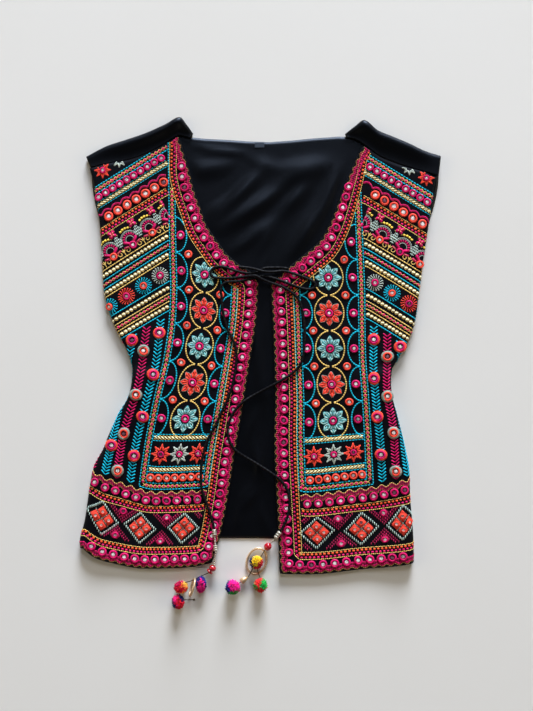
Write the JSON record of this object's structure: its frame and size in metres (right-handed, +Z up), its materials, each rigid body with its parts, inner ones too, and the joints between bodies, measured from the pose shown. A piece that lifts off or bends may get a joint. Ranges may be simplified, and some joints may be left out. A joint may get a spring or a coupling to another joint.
{
  "type": "embroidered vest",
  "caption": "Sleeveless folk vest laid flat: two embroidered fronts tied at the neck with cords that end in beads and pompoms, over a plain back",
  "frame": {"origin": "on the table under the middle of the garment's own outline, tassels and ties left out", "axes": "X to the right as the garment is seen from above, Y up its length from hem to neck, Z up from the table"},
  "size_m": [0.4139, 0.5664, 0.019],
  "materials": {
    "black_cotton": "matt black woven cotton",
    "embroidered_cotton": "black cotton covered in coloured thread and small mirrors",
    "label_grey": "woven tape",
    "silver": "worn silver-coloured metal",
    "pale_gold": "pale gold-coloured metal",
    "red_glass": "glossy red bead",
    "pink_yarn": "soft cut yarn"
  },
  "bodies": {
    "root": {"back": "black_cotton", "front_left": "embroidered_cotton", "front_right": "embroidered_cotton", "yoke_left": "black_cotton", "yoke_right": "black_cotton", "size_label": "label_grey", "tie_left": "black_cotton", "tie_right": "black_cotton", "silver_cap_left": "silver", "bead_link_left": "silver", "silver_cap_left_low": "silver", "bead_string_left": "silver", "red_bead_left": "red_glass", "red_disc_left": "red_glass", "thread_left": "black_cotton", "thread_ring": "black_cotton", "eye_pin": "pale_gold", "ring_left": "pale_gold", "pompom_pink_left": "pink_yarn", "pompom_coral_left": "pink_yarn", "pompom_red_left": "pink_yarn", "silver_cap_right": "silver", "bead_string_right": "silver", "red_bead_right": "red_glass", "thread_right": "black_cotton", "thread_bell": "black_cotton", "bell_right": "pale_gold", "thread_pink": "black_cotton", "thread_green": "black_cotton", "ring_right": "pale_gold", "pompom_navy_right": "pink_yarn", "pompom_pink_right": "pink_yarn", "pompom_green_right": "pink_yarn"}
  },
  "joints": []
}
